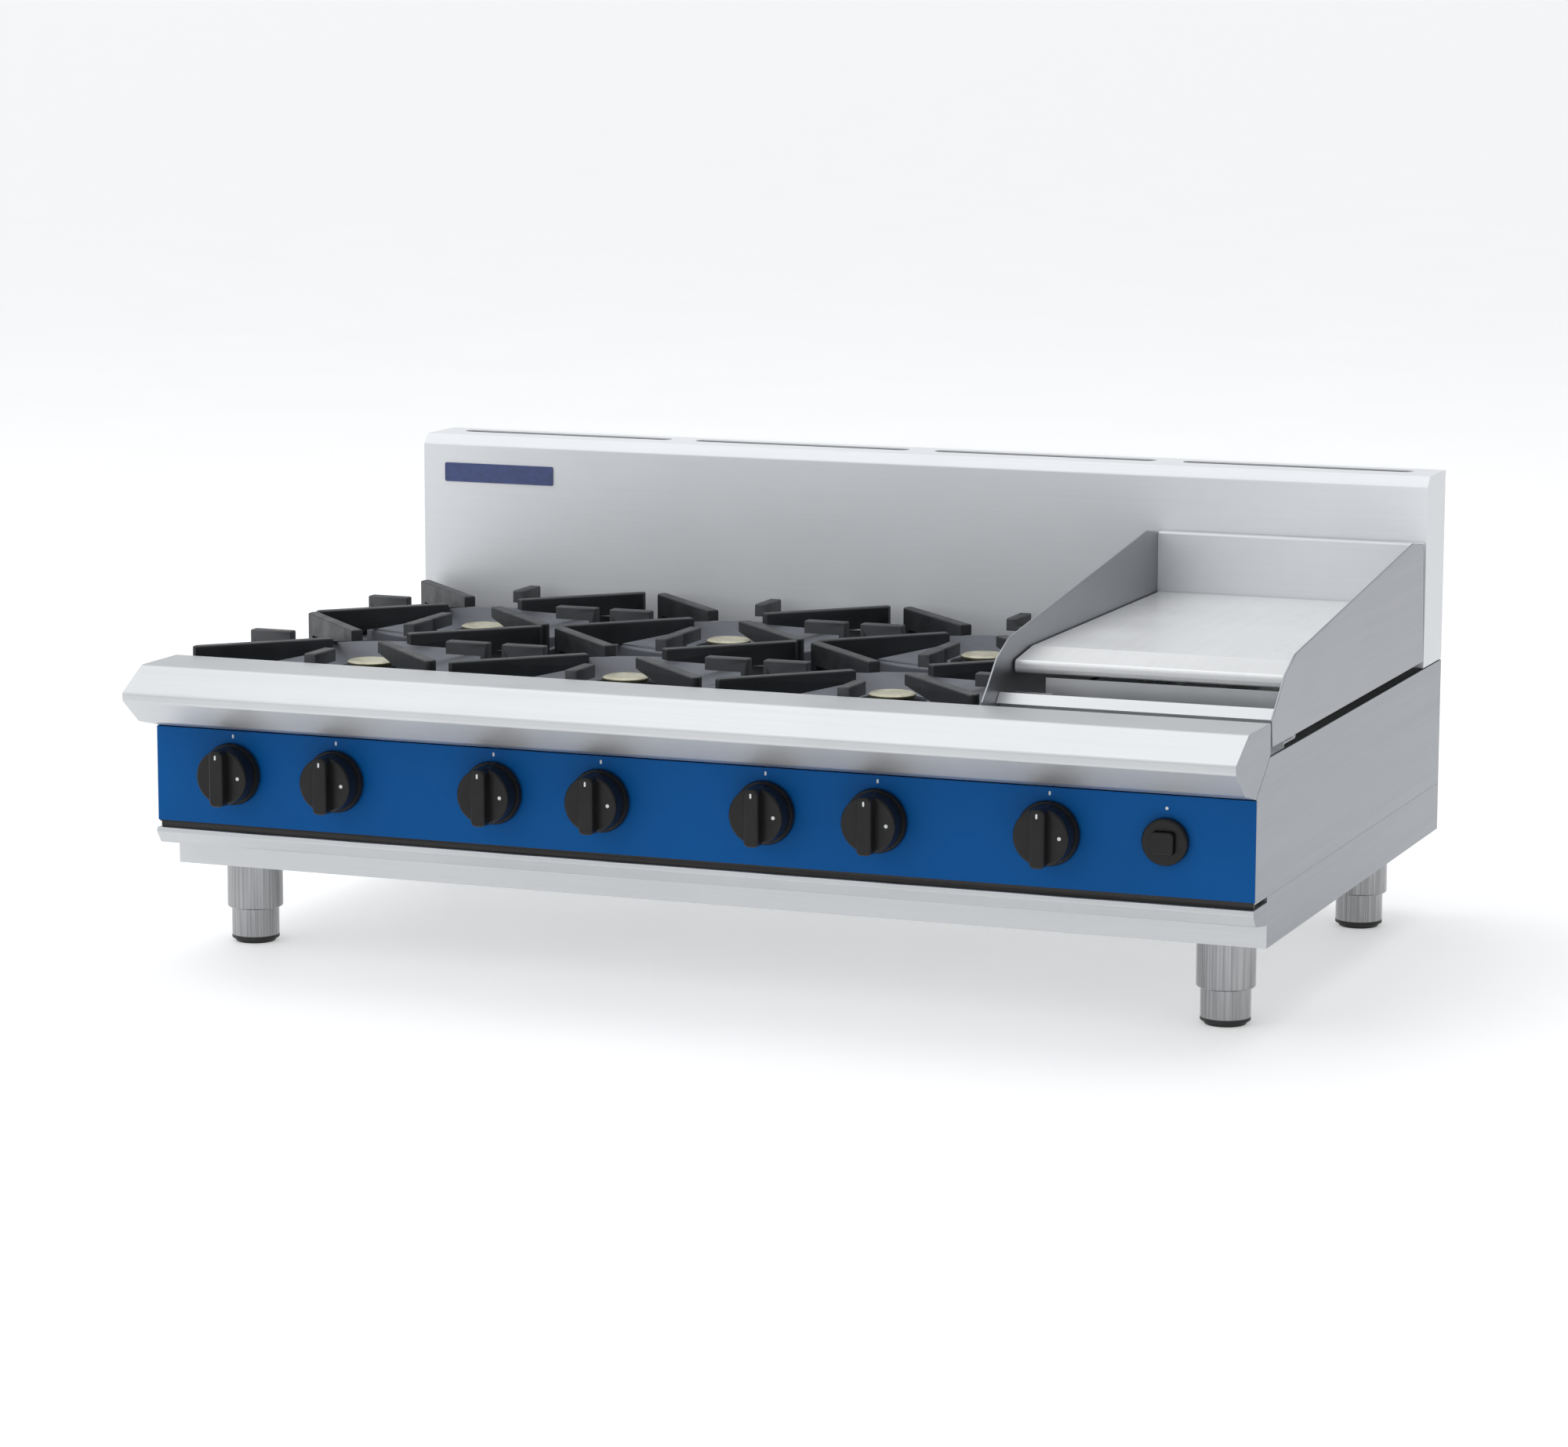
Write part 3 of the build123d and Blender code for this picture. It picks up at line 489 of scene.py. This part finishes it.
# ---------------------------------------------------------------- printed marks, screws and plates
def slab(bm, outline, depth, matrix):
    """A thin plate: the outline in local x and y, depth along local z."""
    floor = [bm.verts.new(matrix @ Vector((x, y, 0))) for x, y in outline]
    roof = [bm.verts.new(matrix @ Vector((x, y, depth))) for x, y in outline]
    bm.faces.new(roof)
    bm.faces.new(list(reversed(floor)))
    for i in range(len(outline)):
        j = (i + 1) % len(outline)
        bm.faces.new((floor[i], floor[j], roof[j], roof[i]))


def capsule(width, height, steps=8):
    """The outline of an upright bar with round ends."""
    radius = width / 2
    reach = height / 2 - radius
    points = []
    for i in range(2 * steps + 2):
        angle = math.pi * (i if i <= steps else i - 1) / steps
        lift = reach if i <= steps else -reach
        points.append((radius * math.cos(angle), lift + radius * math.sin(angle)))
    return points


def disc(radius, steps=28):
    return [
        (radius * math.cos(2 * math.pi * i / steps), radius * math.sin(2 * math.pi * i / steps))
        for i in range(steps)
    ]


def box_outline(width, height, radius, steps=5):
    """The outline of a rectangle with rounded corners."""
    points = []
    for quarter, (sx, sy) in enumerate(((1, 1), (-1, 1), (-1, -1), (1, -1))):
        for i in range(steps + 1):
            angle = math.pi / 2 * (quarter + i / steps)
            points.append(
                (
                    sx * (width / 2 - radius) + radius * math.cos(angle),
                    sy * (height / 2 - radius) + radius * math.sin(angle),
                )
            )
    return points


def facing(origin, normal, up=(0, 0, 1)):
    """A frame at origin: local z along normal, local y as near up as it can be."""
    z = Vector(normal).normalized()
    x = Vector(up).cross(z).normalized()
    y = z.cross(x)
    turn = Matrix((x, y, z)).transposed().to_4x4()
    return Matrix.Translation(Vector(origin)) @ turn


PRINT = 0.12 * MM         # thickness of printed ink
DRUM_FRONT = 29 * MM      # the knobs' flat fronts ahead of the panel
KNOB_MARK = (2.2 * MM, 4.2 * MM)
KNOB_MARK_LIFT = 6.5 * MM
BUTTON_MARK_RADIUS = 1.6 * MM
BUTTON_MARK_LIFT = 9 * MM
# white mark at the top of each grip: partly a printed pointer, partly a painted highlight
GRIP_POINTER_AND_HIGHLIGHT = (2 * MM, 5 * MM)
GRIP_POINTER_AND_HIGHLIGHT_HEIGHT = 23 * MM
DOT_RADIUS = 1.9 * MM
DOT_ASIDE = 19.5 * MM
panel_low, panel_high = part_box("control_panel")
panel_face = panel_low.y
FRONT = (0, -1, 0)

KNOB_COUNT = 7
knob_boxes = [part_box(f"control_knob_{i}") for i in range(1, KNOB_COUNT + 1)]
marks = bmesh.new()
for low, high in knob_boxes:
    middle = (low + high) / 2
    place = facing((middle.x, panel_face, high.z + KNOB_MARK_LIFT), FRONT)
    slab(marks, capsule(*KNOB_MARK), PRINT, place)
button_low, button_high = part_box("igniter_body")
button_middle = (button_low.x + button_high.x) / 2
place = facing((button_middle, panel_face, button_high.z + BUTTON_MARK_LIFT), FRONT)
slab(marks, disc(BUTTON_MARK_RADIUS), PRINT, place)
piece_from("panel_index_marks", marks, "chassis", print_white, smooth=False)

for number, (low, high) in enumerate(knob_boxes, 1):
    middle = (low + high) / 2
    dots = bmesh.new()
    grip_pointer_and_highlight = (middle.x, low.y, middle.z + GRIP_POINTER_AND_HIGHLIGHT_HEIGHT)
    on_drum = (middle.x + DOT_ASIDE, panel_face - DRUM_FRONT, middle.z)
    # the grip's white mark is partly pointer print and partly painted highlight; the drum dot is
    # print
    slab(dots, capsule(*GRIP_POINTER_AND_HIGHLIGHT), PRINT, facing(grip_pointer_and_highlight, FRONT))
    slab(dots, disc(DOT_RADIUS), PRINT, facing(on_drum, FRONT))
    piece_from(f"knob_print_and_painted_highlight_{number}", dots, f"knob_{number}", print_white, smooth=False)


SCREW_RADIUS = 4.2 * MM
SCREW_HEIGHT = 1.8 * MM
SCREW_CROWN = 0.12 * SCREW_RADIUS     # radius of the small flat on top


def screw_head(bm, place, rings=4, steps=24):
    """A domed rivet-like screw head."""
    levels = []
    for ring in range(rings + 1):
        angle = math.pi / 2 * ring / rings
        size = SCREW_CROWN if ring == rings else SCREW_RADIUS * math.cos(angle)
        lift = SCREW_HEIGHT * math.sin(angle)
        levels.append([bm.verts.new(place @ Vector((x, y, lift))) for x, y in disc(size, steps)])
    for lower, upper in zip(levels, levels[1:]):
        for i in range(steps):
            j = (i + 1) % steps
            bm.faces.new((lower[i], lower[j], upper[j], upper[i]))
    bm.faces.new(levels[-1])
    bm.faces.new(list(reversed(levels[0])))


base_low, base_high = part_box("base_tray")
rear_low, rear_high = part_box("rear_panel")
REAR = (0, 1, 0)
DOWN = (0, 0, -1)
REAR_SCREWS = (-570 * MM, -290 * MM, 0, 290 * MM, 570 * MM)
BASE_SCREWS = 545 * MM        # from the middle to either row under the base
SCREW_INSET = 30 * MM
LOW_SCREW_INSET = 14 * MM
screws = bmesh.new()
for x in REAR_SCREWS:
    for z in (rear_low.z + LOW_SCREW_INSET, rear_high.z - SCREW_INSET):
        screw_head(screws, facing((x, rear_high.y, z), REAR))
base_middle = (base_low.y + base_high.y) / 2
for x in (-BASE_SCREWS, BASE_SCREWS):
    for y in (base_low.y + SCREW_INSET, base_middle, base_high.y - SCREW_INSET):
        screw_head(screws, facing((x, y, base_low.z), DOWN, REAR))
piece_from("casing_screws", screws, "chassis", finishes["pipe_steel"])

# black strip in the gap between the control panel and the drip ledge: painted shadow standing in
# for the gap's shade
SHADOW_STRIP_CLEARANCE = 0.1 * MM     # above and below it
SHADOW_STRIP_BACK = 7 * MM            # its back lies that far behind the panel's face
SHADOW_STRIP_DEPTH = 4 * MM
SHADOW_STRIP_INSET = 2 * MM           # at either end
SHADOW_STRIP_CORNER = 1.5 * MM
_, ledge_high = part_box("front_ledge")
shadow_strip = bmesh.new()
shadow_strip_height = panel_low.z - ledge_high.z - 2 * SHADOW_STRIP_CLEARANCE
shadow_strip_middle = ledge_high.z + SHADOW_STRIP_CLEARANCE + shadow_strip_height / 2
shadow_strip_outline = box_outline(2 * (panel_high.x - SHADOW_STRIP_INSET), shadow_strip_height, SHADOW_STRIP_CORNER)
slab(shadow_strip, shadow_strip_outline, SHADOW_STRIP_DEPTH, facing((0, panel_face + SHADOW_STRIP_BACK, shadow_strip_middle), FRONT))
# this strip is painted shadow for the dark gap under the panel
shadow_strip_piece = piece_from(
    "panel_shadow_strip", shadow_strip, "chassis", finishes["black_plastic"], smooth=False
)
soften(shadow_strip_piece, 0.4 * MM)

RATING_SIZE = (90 * MM, 55 * MM, 3 * MM)      # width, height and corner radius
RATING_THICKNESS = 0.5 * MM
rating_place = facing((-420 * MM, rear_high.y, 350 * MM), REAR)
plate = bmesh.new()
slab(plate, box_outline(*RATING_SIZE), RATING_THICKNESS, rating_place)
rating = piece_from(
    "rating_plate", plate, "chassis", finishes["pipe_steel"], smooth=False
)
soften(rating, 0.2 * MM)


# ---------------------------------------------------------------- stage, light and camera
def floor_finish():
    """Pale floor with a little light of its own, so that it stays near white far away."""
    finish = Finish("studio_floor", Specular_IOR_Level=0.25)
    finish.colour(finish.ramp(finish.noise(3, 3), [(0.3, 0.86), (0.7, 0.89)]))
    finish.roughness(finish.range(finish.noise(20, 3), 0.55, 0.65))
    finish.shader.inputs["Emission Color"].default_value = (1, 1, 1, 1)
    finish.shader.inputs["Emission Strength"].default_value = 0.36
    return finish.material


FLOOR_RADIUS = 130        # its rim lies above the top of the frame
ring = bmesh.new()
bmesh.ops.create_circle(ring, cap_ends=True, segments=96, radius=FLOOR_RADIUS)
floor_mesh = bpy.data.meshes.new("studio_floor")
ring.to_mesh(floor_mesh)
ring.free()
floor_mesh.materials.append(floor_finish())
floor = bpy.data.objects.new("studio_floor", floor_mesh)
bpy.context.scene.collection.objects.link(floor)

# the room is brighter on the cook's left than on the right
world = bpy.data.worlds.new("studio")
bpy.context.scene.world = world
world.use_nodes = True
backdrop = world.node_tree.nodes["Background"]
direction = world.node_tree.nodes.new("ShaderNodeTexCoord")
across = world.node_tree.nodes.new("ShaderNodeSeparateXYZ")
falloff = world.node_tree.nodes.new("ShaderNodeMapRange")
falloff.inputs["From Min"].default_value = -0.6
falloff.inputs["From Max"].default_value = 0.9
falloff.inputs["To Min"].default_value = 0.86
falloff.inputs["To Max"].default_value = 0.3
world.node_tree.links.new(direction.outputs["Generated"], across.inputs["Vector"])
world.node_tree.links.new(across.outputs["X"], falloff.inputs["Value"])
world.node_tree.links.new(falloff.outputs["Result"], backdrop.inputs["Strength"])
backdrop.inputs["Color"].default_value = (0.96, 0.98, 1.0, 1)
bpy.context.scene.view_settings.view_transform = "Standard"


def softbox(name, place, size, power):
    """A rectangular area light that looks at the middle of the part."""
    light = bpy.data.lights.new(name, "AREA")
    light.shape = "RECTANGLE"
    light.size, light.size_y = size
    light.energy = power
    made = bpy.data.objects.new(name, light)
    made.location = place
    made.rotation_euler = (centre - Vector(place)).to_track_quat("-Z", "Y").to_euler()
    bpy.context.scene.collection.objects.link(made)


low, high = cad_bounds
centre = (low + high) / 2
softbox("key_softbox", (-3.2, -3.6, 4.2), (6.0, 4.4), 44)
softbox("top_softbox", (-0.4, 0.8, 4.4), (5.5, 4.5), 66)

# the photo's camera, solved from the edges of the part
CAMERA_PLACE = (1.860, -4.815, 1.083)
CAMERA_YAW = math.radians(21.33)
CAMERA_PITCH = math.radians(-9.33)
CAMERA_ROLL = math.radians(0.12)
camera_data = bpy.data.cameras.new("photo_camera")
camera_data.sensor_width = 36
camera_data.lens = 111.9
camera_data.clip_end = 200
camera = bpy.data.objects.new("photo_camera", camera_data)
camera.location = CAMERA_PLACE
camera.rotation_mode = "XYZ"
yaw = Matrix.Rotation(CAMERA_YAW, 4, "Z")
pitch = Matrix.Rotation(math.pi / 2 + CAMERA_PITCH, 4, "X")
roll = Matrix.Rotation(CAMERA_ROLL, 4, "Z")
camera.rotation_euler = (yaw @ pitch @ roll).to_euler()
bpy.context.scene.collection.objects.link(camera)
bpy.context.scene.camera = camera
